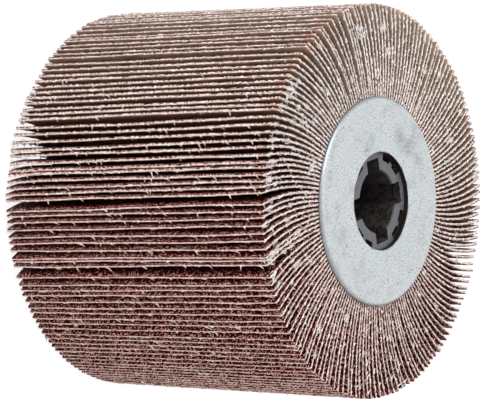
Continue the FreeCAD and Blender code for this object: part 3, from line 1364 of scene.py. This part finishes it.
    def middle(self, flap: Array, share: Array, width: Array) -> Array:
        """Points on the flaps' middle surface.

        The root is turned by the twist times (1 - width). The radius runs evenly from root to tip,
        and a tip that leans more ends at a smaller radius: with q as its front corner's lean over the
        mean one, it comes in by lean_shortens x (q squared - 1). The angle is root + (tip - root)
        times the bend's share to its power, plus slight waves along the width.

        Args:
            flap: Flap numbers.
            share: Shares of the way from root to tip.
            width: Shares of the way from the rear end to the front.

        Returns:
            Points in millimetres.
        """
        sizes = self.sizes
        root = self.roots[flap] + self.twists[flap] * (1.0 - width)
        tip = self.tip_angle(flap, width)
        lean = (self.tips[-1][flap] - self.roots[flap]) / math.radians(self.lean)
        shortened = self.lean_shortens * (lean**2 - 1.0)
        tip_radius = sizes.tip_radius - self.inset[0] - shortened + self.trims[flap]
        tip_radius = np.minimum(tip_radius, sizes.tip_radius - self.inset[1])
        radius = sizes.root_radius + (tip_radius - sizes.root_radius) * share
        bend = np.clip((radius - self.bend_radius) / (sizes.tip_radius - self.bend_radius), 0.0, None)
        ripple = sum(
            part * np.sin(math.tau * cycles * width + wave[flap])
            for (cycles, part), wave in zip(self.ripples, self.waves)
        )
        angle = root + (tip - root) * bend**self.bend_power + self.ripple * ripple * bend**2
        held, free_from = self.held
        free = smooth_step((radius - sizes.washer_radius - held) / (free_from - held))
        low = sizes.flaps_low + self.ends[0][flap] * free
        high = sizes.flaps_high + self.ends[1][flap] * free
        return about_axis(radius, angle, low + (high - low) * width)

    def directions(self, flap: Array, share: Array, width: Array) -> tuple[Array, Array]:
        """The directions at points on the middle surface.

        Args:
            flap: Flap numbers.
            share: Shares of the way from root to tip.
            width: Shares of the way from the rear end to the front.

        Returns:
            Unit vectors towards the tip, and square to the flap towards its backing.
        """
        reach = 0.01
        to_tip = self.middle(flap, share + reach, width) - self.middle(flap, share - reach, width)
        to_tip[..., 2] = 0.0
        to_tip = unit(to_tip)
        to_back = np.stack([-to_tip[..., 1], to_tip[..., 0], np.zeros(to_tip.shape[:-1])], axis=-1)
        return to_tip, to_back

    def bodies(self, flaps: Array) -> Surface:
        """The flaps without their fraying: two sides on a grid and a rim in two layers between them.

        On the rim of the grain layer, the place on the cloth runs on past the edge by the depth into
        the layer.

        Args:
            flaps: Flap numbers.

        Returns:
            Closed sheets of the flap's thickness.
        """
        # The straight part by the root needs few rows of points, and the bend more
        share = np.concatenate([[0.0, 0.12], np.linspace(0.25, 1.0, 9)])
        width = np.linspace(0.0, 1.0, 17)
        rows, columns = len(share), len(width)
        flap, s, w = np.meshgrid(flaps, share, width, indexing="ij")
        middle = self.middle(flap, s, w)
        _, to_back = self.directions(flap, s, w)
        half = self.thickness / 2
        grain, back = middle - to_back * half, middle + to_back * half
        layer = middle - to_back * half * (1.0 - 2.0 * self.grain_share)
        grid = np.arange(rows * columns).reshape(rows, columns)
        rim = np.concatenate([grid[:, 0], grid[-1, 1:], grid[-2::-1, -1], grid[0, -2:0:-1]])
        around = np.arange(len(rim))
        ahead = np.roll(around, -1)
        side, size = grid_quads(rows, columns), rows * columns
        rim_grain, rim_layer, rim_back = rim, 2 * size + around, rim + size
        strips = [
            np.stack([a, b, b[ahead], a[ahead]], axis=-1)
            for a, b in ((rim_grain, rim_layer), (rim_layer, rim_back))
        ]
        one = np.concatenate([side, side[:, ::-1] + size, *strips])
        slots = np.repeat(
            [FlapSlot.GRAIN, FlapSlot.BACKING, FlapSlot.GRAIN, FlapSlot.CUT],
            [len(side), len(side), len(rim), len(rim)],
        )
        count = len(flaps)
        flat = [a.reshape(count, -1, 3) for a in (grain, back, layer)]
        points = np.concatenate([flat[0], flat[1], flat[2][:, rim]], axis=1)
        places = np.stack([self.sizes.flap_width() * w, self.sizes.flap_length() * s], axis=-1)
        places = places.reshape(count, -1, 2)
        beyond = np.stack([(w == 1.0) * 1.0 - (w == 0.0), s == 1.0], axis=-1).reshape(count, -1, 2)
        past_edge = places + self.thickness * self.grain_share * beyond
        places = np.concatenate([places, places, past_edge[:, rim]], axis=1)
        cloth = places[:, one].reshape(-1, 2)
        quads = repeated(one, count, points.shape[1])
        return Surface(points.reshape(-1, 3), quads, slots=np.tile(slots, count), cloth=cloth)

    def edge_path(self) -> tuple[Array, Array, Array]:
        """Stations along a flap's free edge: out along the front, back along the tip, in at the rear.

        Returns:
            The stations' shares of the way to the tip, their shares of the width, and which way the
            edge faces along the axis: 1 at the front, 0 at the tip, -1 at the rear, and part of the
            way between them at the corners.
        """
        sizes = self.sizes
        length, at_corner = sizes.flap_length(), 0.7
        start = (sizes.washer_radius + self.edge_from - sizes.root_radius) / length
        side = int((1.0 - start) * length / self.edge_step)
        tip = int(sizes.flap_width() / self.edge_step)
        out = np.linspace(start, 1.0, side)
        share = np.concatenate([out, np.ones(tip), out[::-1]])
        inset = self.corner_inset / sizes.flap_width()
        width = np.concatenate([np.ones(side), np.linspace(1.0 - inset, inset, tip), np.zeros(side)])
        facing = np.concatenate([np.ones(side), np.zeros(tip), -np.ones(side)])
        facing[[side - 1, side]] = at_corner
        facing[[-side - 1, -side]] = -at_corner
        return share, width, facing

    def edge_frame(
        self, flap: Array, share: Array, width: Array, facing: Array
    ) -> tuple[Array, Array, Array]:
        """Where a cut edge is, and how it lies.

        Args:
            flap: Flap numbers.
            share: Shares of the way from root to tip.
            width: Shares of the width.
            facing: Which way the edge faces along the axis.

        Returns:
            Points on the middle of the edge, unit vectors towards the backing and outward.
        """
        to_tip, to_back = self.directions(flap, share, width)
        axial = np.zeros(to_tip.shape)
        axial[..., 2] = facing
        outward = unit(axial + to_tip * np.sqrt(1.0 - facing**2)[..., None])
        return self.middle(flap, share, width), to_back, outward

    def as_cut_cloth(self, surface: Surface) -> Surface:
        """Gives a surface the look of the cut, at a place on the cloth away from every edge.

        Args:
            surface: The surface, which is changed.

        Returns:
            The same surface.
        """
        surface.slots[:] = FlapSlot.CUT
        surface.cloth[:] = self.sizes.flap_width() / 2, self.sizes.flap_length() / 2
        return surface

    def frayed(self, flaps: Array, rng: np.random.Generator) -> Surface:
        """The frayed cloth along the cut edges.

        Args:
            flaps: Flap numbers.
            rng: Source of the random draws.

        Returns:
            One closed tube for each flap.
        """
        share, width, facing = self.edge_path()
        flap = np.broadcast_to(flaps[:, None], (len(flaps), len(share)))
        line, to_back, outward = self.edge_frame(flap, share, width, facing)
        back = self.thickness / 2
        grain = -back * (1.0 - 2.0 * self.grain_share)
        section = self.fray.sections(grain, back, facing, len(flaps), rng)
        return self.as_cut_cloth(tubes(line, to_back, outward, section))

    def loose_threads(self, flaps: Array, rng: np.random.Generator) -> Surface:
        """Threads that stand off the cut edges.

        A thread leaves its edge outward, across the gap and a little along the edge, and curls: its
        point at share t is start + length x (t x way + t squared x curl).

        Args:
            flaps: Flap numbers.
            rng: Source of the random draws.

        Returns:
            All the threads as three-sided tubes.
        """
        look = self.threads
        flap = np.repeat(flaps, sum(look.counts))
        facing = np.tile(np.repeat([1.0, 0.0, -1.0], look.counts), len(flaps))
        at_tip = facing == 0.0
        draw = rng.random((2, len(flap)))
        share = np.where(at_tip, 1.0, look.from_share + (1.0 - look.from_share) * draw[0])
        width = np.where(at_tip, draw[0], (facing + 1.0) / 2.0)
        start, to_back, outward = self.edge_frame(flap, share, width, facing)
        along = np.cross(to_back, outward)
        weights = rng.normal(look.way, look.way_spread, (len(flap), 3))
        way = unit(weights[:, :1] * outward + weights[:, 1:2] * to_back + weights[:, 2:] * along)
        any_way, inward, across = look.curl
        curl = rng.normal(0.0, any_way, (len(flap), 3)) - inward * outward + across * to_back
        turned = np.cos(self.roots[flap] - math.radians(look.most_torn_at))
        torn = look.torn[0] + look.torn[1] * turned
        least, shape, scale = look.length
        length = torn * (least + rng.gamma(shape, scale, len(flap)))
        t = np.linspace(0.0, 1.0, look.stations)
        line = (start + look.aside * to_back)[:, None] + length[:, None, None] * (
            t[:, None] * way[:, None] + (t**2)[:, None] * curl[:, None]
        )
        radius = (torn * rng.uniform(*look.radius, len(flap)))[:, None] * (1.0 - look.taper * t)
        return self.as_cut_cloth(strands(line, radius, 3))

    def set_numbers(self, index: int) -> Array:
        """The numbers of the flaps that a node holds: every flap_sets-th one, from its own on."""
        return index + self.sizes.flap_sets * np.arange(self.per_set)

    def build(self, materials: list[Material]) -> None:
        """Makes one piece for each node of flaps, in its place.

        Args:
            materials: Materials of the flap slots.
        """
        for index in range(self.sizes.flap_sets):
            rng = np.random.default_rng([self.set_seed, index])
            flaps = self.set_numbers(index)
            parts = [self.bodies(flaps), self.frayed(flaps, rng), self.loose_threads(flaps, rng)]
            piece = make_piece(f"flaps_{index + 1:02d}", joined(parts), materials)
            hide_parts(f"flap_set_{index + 1:02d}")
            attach(piece, "root")


@dataclass
class LintTufts:
    """Clumps of dust and cut thread that cling to the flaps' edges on both ends of the wheel.

    Attributes:
        flaps: The flaps that they cling to.
        clumps: Number of clumps on an end.
        fibres: Fibres in a clump.
        drifted: Share of the clumps that have drifted to one side, near the tips.
        drift_at: Angle of that side round the wheel, and spread about it, in degrees.
        drift_in: Shape and scale of how far from the tips those lie, as a share of the flap.
        on_edge: First and last share of the way from root to tip at which the other clumps sit.
        farthest: Largest share for any clump.
        size: Least size of a clump, and shape and scale of what is added to it.
        length: Length of a fibre over its clump's size.
        sway: Size of a fibre's wander sideways, over its clump's size.
        rise: Size of its wander outward.
        thick: Least and largest radius of a fibre in a clump of size 1.
        uneven: Least and largest random factor of the radius along a fibre.
        scatter: Spread of the fibres' starts, over the clump's size.
        off_edge: Least and largest distance of the starts from the edge.
        aside: How far the starts lie towards the backing, over the clump's size.
        turn_spread: Spread of the fibres' directions about the edge's, in radians.
        stations: Points along a fibre.
        seed: Seed of the random draws.
    """

    flaps: FlapPack
    clumps: int = 170
    fibres: int = 9
    drifted: float = 0.4
    drift_at: tuple[float, float] = (146.0, 24.0)
    drift_in: tuple[float, float] = (1.5, 0.1)
    on_edge: tuple[float, float] = (0.3, 0.98)
    farthest: float = 0.99
    size: Xyz = (0.3, 2.0, 0.26)
    length: float = 1.9
    sway: float = 0.22
    rise: float = 0.1
    thick: tuple[float, float] = (0.06, 0.12)
    uneven: tuple[float, float] = (0.7, 1.3)
    scatter: float = 0.4
    off_edge: tuple[float, float] = (0.02, 0.2)
    aside: float = 0.3
    turn_spread: float = 0.4
    stations: int = 6
    seed: int = 23

    def sites(self, rng: np.random.Generator) -> tuple[Array, Array]:
        """Where the clumps sit: some by the tips on one side of the wheel, and the rest anywhere.

        Args:
            rng: Source of the random draws.

        Returns:
            The number of each clump's flap, and its share of the way from root to tip.
        """
        count, clumps = self.flaps.count, self.clumps
        drifted = rng.random(clumps) < self.drifted
        near_side = np.radians(rng.normal(*self.drift_at, clumps)) / self.flaps.pitch
        anywhere = rng.integers(0, count, clumps)
        flap = np.where(drifted, near_side.astype(int) % count, anywhere)
        shape, scale = self.drift_in
        by_tip = 1.0 - scale * rng.gamma(shape, 1.0, clumps)
        first, last = self.on_edge
        share = np.where(drifted, by_tip, first + (last - first) * rng.random(clumps))
        return flap, np.clip(share, first, self.farthest)

    def build(self, end: End, material: Material) -> None:
        """Makes the lint of one end.

        The fibres of a clump start near its place, run mostly along the flap's edge, and wander: a
        fibre is start + way x t, moved sideways by one random sine of t and outward by another. Its
        radius falls as the cosine of 2.6 t, for t from -1/2 to 1/2.

        Args:
            end: Which end.
            material: The lint's material.
        """
        rng = np.random.default_rng([self.seed, int(end.value) + 1])
        flap, share = (np.repeat(site, self.fibres) for site in self.sites(rng))
        count = len(flap)
        width, facing = np.full(count, (end.value + 1.0) / 2.0), np.full(count, end.value)
        start, to_back, outward = self.flaps.edge_frame(flap, share, width, facing)
        along = np.cross(to_back, outward)
        least, shape, scale = self.size
        size = np.repeat(least + rng.gamma(shape, scale, self.clumps), self.fibres)[:, None]
        start = start + size * rng.normal(0.0, self.scatter, (count, 3)) * (1.0 - np.abs(outward))
        start = start + outward * rng.uniform(*self.off_edge, (count, 1)) + self.aside * size * to_back
        turn = rng.normal(math.pi / 2, self.turn_spread, count)
        way = np.cos(turn)[:, None] * to_back + np.sin(turn)[:, None] * along
        t = np.linspace(-0.5, 0.5, self.stations)
        phase = rng.uniform(0.0, math.tau, (count, 2))
        sway = np.sin(math.tau * t + phase[:, :1]) * self.sway
        rise = np.abs(np.sin(math.pi * t + phase[:, 1:])) * self.rise
        line = (
            start[:, None]
            + (size * self.length)[..., None] * t[:, None] * way[:, None]
            + (size * sway)[..., None] * np.cross(way, outward)[:, None]
            + rise[..., None] * outward[:, None]
        )
        thick = rng.uniform(*self.thick, (count, 1)) * np.sqrt(size)
        radius = thick * np.cos(2.6 * t) * rng.uniform(*self.uneven, (count, len(t)))
        piece = make_piece(f"{end.name.lower()}_lint", strands(line, radius, 4), [material])
        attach(piece, "root")


@dataclass
class FlangeWasher:
    """A pressed flange washer: flat, its rim rolled over and the edge of its punched hole worn.

    Attributes:
        sizes: Main sizes of the wheel.
        clearance: Room between the washer's hole and the core.
        rim_rounding: Radius of the rim's rounding.
        hole_rounding: Radius of the rounding at the hole.
        flat_from: Distance from a rounding to the point that keeps the face beside it flat.
        dip: How far the face sinks where it is lowest.
        dip_start: Where the dips start round the wheel, in radians.
        dips_above: Height above the seat from which the section sinks with the face.
        segments: Steps round the axis.
    """

    sizes: WheelSizes
    clearance: float = 0.07
    rim_rounding: float = 1.3
    hole_rounding: float = 0.25
    flat_from: float = 0.05
    dip: float = 0.02
    dip_start: float = 0.7
    dips_above: float = 0.5
    segments: int = 192

    def hole_radius(self) -> float:
        """Radius of the hole."""
        return self.sizes.core_radius + self.clearance

    def profile(self, thickness: float) -> Array:
        """The washer's section: up round the rim, in over the face, down the hole, out along the seat.

        A rounding is a quarter circle about its own centre.

        Args:
            thickness: Thickness of the washer.

        Returns:
            Radii and heights above the seat, anticlockwise.
        """
        hole, rim = self.hole_radius(), self.sizes.washer_radius
        big, small = self.rim_rounding, self.hole_rounding
        quarter = np.linspace(0.0, math.pi / 2, 9)
        rim_arc = arc((rim - big, thickness - big), big, quarter)
        hole_arc = arc((hole + small, thickness - small), small, quarter[::2] + math.pi / 2)
        flat = [[rim - big - self.flat_from, thickness], [hole + small + self.flat_from, thickness]]
        seat = [[hole, 0.0], [rim, 0.0]]
        return np.concatenate([rim_arc, flat, hole_arc, seat])

    def build(self, end: End, material: Material) -> None:
        """Turns the section about the axis, and lets the face sink in four slight dips.

        Args:
            end: Which end of the wheel.
            material: The washer's material.
        """
        sizes = self.sizes
        seat, face = sizes.flaps_low, sizes.rear_face
        if end is End.FRONT:
            seat, face = sizes.flaps_high, sizes.front_face
        radius, height = self.profile(abs(face - seat)).T
        angle = np.arange(self.segments)[:, None] * math.tau / self.segments
        dip = self.dip * np.sin(2.0 * angle + self.dip_start) * (height > self.dips_above)
        points = about_axis(radius, angle, seat + end.value * (height - np.abs(dip)))
        quads = grid_quads(self.segments, len(radius), wrap_rows=True, wrap_columns=True)
        if end is End.REAR:
            quads = quads[:, ::-1]
        turned = Surface(points.reshape(-1, 3), quads)
        piece = make_piece(f"{end.name.lower()}_washer", turned, [material])
        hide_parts(f"{end.name.lower()}_flange_washer")
        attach(piece, "root")


@dataclass
class Hub:
    """The keyed core and the resin ring, which keep their solids, and crumbs of resin by the core.

    Attributes:
        sizes: Main sizes of the wheel.
        crumbs: Angle in degrees, radius and size of each crumb on the core's front face.
        sunk: How far the crumbs' middles lie below that face.
        uneven: Least and largest random factor of the radius along a crumb.
        stations: Points along a crumb.
        seed: Seed of the random draws.
    """

    sizes: WheelSizes
    crumbs: tuple[Xyz, ...] = (
        (31.0, 14.2, 0.55),
        (33.5, 13.6, 0.5),
        (36.0, 14.4, 0.6),
        (38.5, 13.8, 0.4),
        (34.5, 14.6, 0.35),
        (-69.0, 14.3, 0.32),
        (-71.0, 14.5, 0.25),
    )
    sunk: float = 0.1
    uneven: tuple[float, float] = (0.75, 1.15)
    stations: int = 6
    seed: int = 31

    def dress(self, nodes: dict[str, bpy.types.Object], plastic: Material, resin: Material) -> None:
        """Gives the two nodes their materials.

        Args:
            nodes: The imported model's nodes by name.
            plastic: Material of the core.
            resin: Material of the ring.
        """
        for name, material in (("hub_core", plastic), ("resin_ring", resin)):
            slots = nodes[name].data.materials
            slots.clear()
            slots.append(material)
            LOG.info("%s: %s", name, material.name)

    def build_crumbs(self, resin: Material) -> None:
        """Makes the crumbs: short fat strands, each about as wide as it is long.

        A crumb's radius is its size times the root of (0.27 - t squared), for t from -1/2 to 1/2, and
        uneven. Its direction is random, and mostly level.

        Args:
            resin: Their material.
        """
        rng = np.random.default_rng(self.seed)
        angle, radius, size = np.array(self.crumbs).T
        place = about_axis(radius, np.radians(angle), self.sizes.flaps_high - self.sunk)
        t = np.linspace(-0.5, 0.5, self.stations)
        way = unit(rng.normal(0.0, 1.0, (len(size), 3)) * [1.0, 1.0, 0.3])
        line = place[:, None] + size[:, None, None] * t[:, None] * way[:, None]
        thick = np.sqrt(np.clip(0.27 - t**2, 0.02, None))
        girth = size[:, None] * thick * rng.uniform(*self.uneven, (len(size), len(t)))
        piece = make_piece("resin_crumbs", strands(line, girth, 4), [resin])
        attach(piece, "root")


# Studio


@dataclass(frozen=True)
class Lamp:
    """A square soft lamp.

    Attributes:
        name: Its name.
        place: Its place in the picture's axes.
        size: Its side in metres.
        power: Its power in watts.
    """

    name: str
    place: Xyz
    size: float
    power: float


@dataclass
class Studio:
    """Camera, lamps, floor and world.

    The picture's axes at the wheel are right, up and axial, from the centre of the flaps' front end.
    right and up lie square to the axis, and right is turned by turn degrees from the +X keyway.

    Attributes:
        sizes: Main sizes of the wheel.
        turn: Angle of the picture's right from +X, in degrees.
        eye: The camera's place in those axes.
        right: The camera's right in those axes.
        top: The camera's up in those axes.
        back: The direction from the scene to the camera in those axes.
        lens: Focal length for the sensor's width.
        sensor: Width of the sensor.
        clip: Nearest and farthest distance that the camera sees, in metres.
        lamps: The lamps.
        aim: Where the lamps point, in the picture's axes.
        lamp_side: A direction in the row frame that every lamp's side is square to.
        fill: Strength of the world's light from below and from above in the picture.
        floor_greys: Lightness of the floor in its darker and its lighter places.
        floor_cloud: Size of those places.
        floor_glow: Strength of the floor's own light where it is seen, and its share of the look.
        floor_half: Half of the floor's side.
        floor_gap: Distance from the wheel down to the floor.
    """

    sizes: WheelSizes
    turn: float = -13.4
    eye: Xyz = (-660.78, 3.74, 435.04)
    right: Xyz = (0.59248, 0.0071, 0.80555)
    top: Xyz = (0.0, 0.99996, -0.00881)
    back: Xyz = (-0.80559, 0.00522, 0.59246)
    lens: float = 193.08
    sensor: float = 36.0
    clip: tuple[float, float] = (0.05, 20.0)
    lamps: tuple[Lamp, ...] = (
        Lamp("key_lamp", (-520.0, 740.0, 440.0), 0.9, 6.2),
        Lamp("front_lamp", (-100.0, 200.0, 950.0), 1.1, 1.488),
    )
    aim: Xyz = (0.0, 0.0, -50.0)
    lamp_side: Xyz = (0.12, 0.2, 0.97)
    fill: tuple[float, float] = (0.78, 0.67)
    floor_greys: tuple[float, float] = (0.86, 0.89)
    floor_cloud: float = 90.0
    floor_glow: tuple[float, float] = (1.14, 0.8)
    floor_half: float = 4000.0
    floor_gap: float = 0.02

    def axes(self) -> Array:
        """The directions of the picture's axes.

        Returns:
            Right, up and axial in the row frame, as the columns of a matrix.
        """
        turn = math.radians(self.turn)
        right = [math.cos(turn), math.sin(turn), 0.0]
        up = [-math.sin(turn), math.cos(turn), 0.0]
        return np.array([right, up, [0.0, 0.0, 1.0]]).T

    def placed(self, point: Xyz) -> Array:
        """A point of the picture's axes, in metres in the row frame."""
        return (self.axes() @ np.array(point) + [0.0, 0.0, self.sizes.flaps_high]) * MM

    def stand(
        self, data: bpy.types.Camera | bpy.types.Light, ways: list[Array], place: Array
    ) -> bpy.types.Object:
        """Puts a camera or a lamp into the scene.

        Args:
            data: The camera or lamp.
            ways: The directions of its own right, up and back.
            place: Its place in metres.

        Returns:
            Its object.
        """
        thing = bpy.data.objects.new(data.name, data)
        matrix = np.eye(4)
        matrix[:3, :3] = np.array(ways).T
        matrix[:3, 3] = place
        # Blender reads a matrix column by column
        thing.matrix_world = matrix.T
        bpy.context.scene.collection.objects.link(thing)
        return thing

    def camera(self) -> None:
        """Stands the camera where the photo was taken, with its own axes as measured."""
        data = bpy.data.cameras.new("camera")
        data.lens, data.sensor_width, data.sensor_fit = self.lens, self.sensor, "HORIZONTAL"
        data.clip_start, data.clip_end = self.clip
        ways = [unit(self.axes() @ np.array(way)) for way in (self.right, self.top, self.back)]
        bpy.context.scene.camera = self.stand(data, ways, self.placed(self.eye))
        LOG.info("camera: lens %.1f mm", data.lens)

    def hang(self, lamp: Lamp) -> None:
        """Hangs a lamp so that it faces the wheel.

        Args:
            lamp: The lamp.
        """
        data = bpy.data.lights.new(lamp.name, "AREA")
        data.shape, data.size, data.energy = "SQUARE", lamp.size, lamp.power
        place = self.placed(lamp.place)
        back = unit(place - self.placed(self.aim))
        side = unit(np.cross(self.lamp_side, back))
        self.stand(data, [side, np.cross(back, side), back], place)
        LOG.info("%s: %.1f W", lamp.name, lamp.power)

    def shown(self, tree: Tree) -> Socket:
        """Which rays show the studio, rather than light the wheel by it.

        Args:
            tree: The tree of the floor or the world.

        Returns:
            1 on rays from the camera, a mirror or glass, and 0 on all others.
        """
        rays = tree.add("LightPath").outputs
        seen = tree.plus(rays["Is Camera Ray"], rays["Is Glossy Ray"])
        inputs = {0: seen, 1: rays["Is Transmission Ray"]}
        return tree.add("Math", inputs, operation="ADD", use_clamp=True).outputs[0]

    def world(self) -> None:
        """Gives the world white light, softly stronger from below, and full white where it is seen."""
        world = bpy.data.worlds.new("studio")
        bpy.context.scene.world = world
        tree = Tree(world)
        way = tree.add("TexCoord").outputs["Generated"]
        above = tree.vector("DOT_PRODUCT", way, self.axes()[:, 1], out="Value")
        strength = tree.span(self.shown(tree), 0.0, 1.0, tree.span(above, -1.0, 1.0, *self.fill), 1.0)
        background = tree.add("Background", {0: WHITE, 1: strength})
        tree.add("OutputWorld", {0: background.outputs[0]})

    def floor(self) -> None:
        """Lays the floor under the rear washer, nearly full white where it is seen."""
        material, tree = new_tree("floor")
        cloud = tree.noise(tree.object_place(), self.floor_cloud)
        dark, light = ((grey, grey, grey, 1.0) for grey in self.floor_greys)
        matt = tree.add("BsdfDiffuse", {0: tree.blend(cloud, dark, light)})
        strength, share = self.floor_glow
        glow = tree.add("Emission", {0: WHITE, 1: strength})
        look = {0: tree.times(self.shown(tree), share), 1: matt.outputs[0], 2: glow.outputs[0]}
        tree.add("OutputMaterial", {"Surface": tree.add("MixShader", look).outputs[0]})
        square = self.floor_half * np.array([[-1.0, -1.0], [1.0, -1.0], [1.0, 1.0], [-1.0, 1.0]])
        points = np.column_stack([square, np.full(4, self.sizes.rear_face - self.floor_gap)])
        floor = make_piece("floor", Surface(points, np.arange(4)[None]), [material])
        floor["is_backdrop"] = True

    def build(self) -> None:
        """Makes the whole studio."""
        self.camera()
        self.world()
        self.floor()
        for lamp in self.lamps:
            self.hang(lamp)


# The whole scene


def corners(box: tuple) -> list[list[float]]:
    """The two corners of a box as plain lists."""
    return [[float(v) for v in corner] for corner in box]


def main() -> None:
    """Builds the wheel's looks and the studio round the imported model."""
    logging.basicConfig(level=logging.INFO, format="%(message)s")
    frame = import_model()
    nodes = frame["nodes"]
    sizes = WheelSizes.from_frame(nodes)
    bpy.context.scene.view_settings.view_transform = "Standard"
    Studio(sizes).build()

    lint = Lint().material()
    pack = FlapPack(sizes)
    cut = CutLines(sizes.flaps_low, sizes.flaps_high, sizes.flap_length())
    grain = AbrasiveGrain(cut, pack.thickness * pack.grain_share)
    pack.build([grain.material(), ClothBacking(cut).material(), CutEdge(cut).material()])
    tufts = LintTufts(pack)
    washer = FlangeWasher(sizes)
    zinc = ZincPlate(washer.hole_radius(), sizes.washer_radius).material()
    for end in End:
        tufts.build(end, lint)
        washer.build(end, zinc)
    resin = CastResin().material()
    hub = Hub(sizes)
    hub.dress(nodes, CorePlastic(sizes.flaps_low, sizes.flaps_high).material(), resin)
    hub.build_crumbs(resin)


if __name__ == "__main__":
    main()
